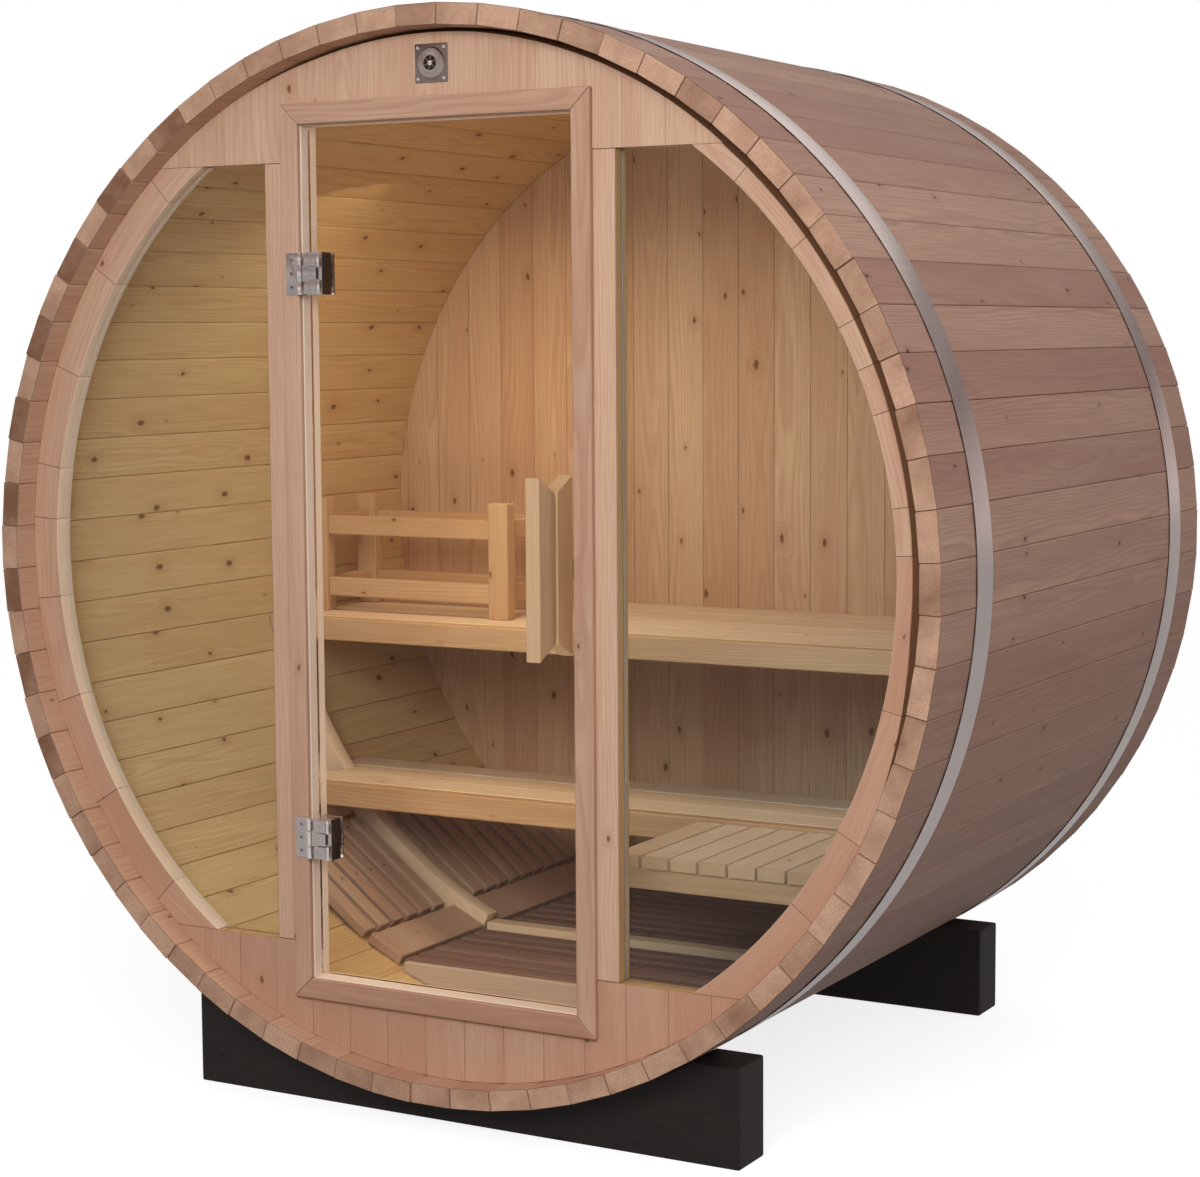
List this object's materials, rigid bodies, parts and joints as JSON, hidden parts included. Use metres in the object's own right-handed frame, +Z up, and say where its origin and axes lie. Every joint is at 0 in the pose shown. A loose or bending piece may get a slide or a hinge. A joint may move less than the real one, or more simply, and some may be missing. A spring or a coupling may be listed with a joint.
{
  "type": "barrel sauna",
  "caption": "Barrel sauna of wooden staves on cradles, with a hinged glass door, fixed side windows, benches along the back and side, a guard rail and a slatted floor.",
  "frame": {"origin": "on the ground under the middle of the barrel", "axes": "+Z up, -Y towards the front wall with the door, +X to the right seen from the front"},
  "size_m": [1.8048, 1.3, 1.8521],
  "materials": {
    "exterior_wood": "satin",
    "interior_wood": "satin",
    "floor_wood": "satin",
    "stained_wood": "matte",
    "stainless_steel": "satin",
    "clear_glass": "gloss",
    "black_plastic": "matte"
  },
  "bodies": {
    "root": {"staves_right": "exterior_wood", "staves_top_right": "exterior_wood", "staves_top": "exterior_wood", "staves_top_left": "exterior_wood", "staves_left": "exterior_wood", "staves_bottom_left": "exterior_wood", "staves_bottom": "exterior_wood", "staves_bottom_right": "exterior_wood", "front_wall_head": "exterior_wood", "front_wall_apron": "exterior_wood", "front_wall_left": "exterior_wood", "front_wall_right": "exterior_wood", "front_post_left": "exterior_wood", "front_post_right": "exterior_wood", "casing_left": "exterior_wood", "casing_right": "exterior_wood", "casing_head": "exterior_wood", "casing_sill": "exterior_wood", "back_wall": "exterior_wood", "upper_bench": "interior_wood", "upper_bench_fascia": "interior_wood", "lower_bench": "interior_wood", "lower_bench_fascia": "interior_wood", "rib_left": "interior_wood", "rib_right": "interior_wood", "rib_tie": "interior_wood", "bench_cleats": "interior_wood", "side_bench_slats": "interior_wood", "side_bench_frame": "interior_wood", "guard_posts": "interior_wood", "guard_rails": "interior_wood", "duckboard_centre": "floor_wood", "duckboard_left": "floor_wood", "duckboard_right": "floor_wood", "front_cradle": "stained_wood", "rear_cradle": "stained_wood", "hoops": "stainless_steel", "vent": "stainless_steel", "hinge_leaves": "stainless_steel", "window_glass_left": "clear_glass", "window_glass_right": "clear_glass", "roller_catch": "black_plastic"},
    "door": {"door_glass": "clear_glass", "hinge_clamps": "stainless_steel", "handle_outer": "interior_wood", "handle_inner": "interior_wood"}
  },
  "joints": [
    {"name": "door_swing", "type": "hinge", "parent": "root", "child": "door", "pos_m": [-0.256, -0.619, 0.95], "axis": [0, 0, -1], "range_deg": [0, 110]}
  ]
}
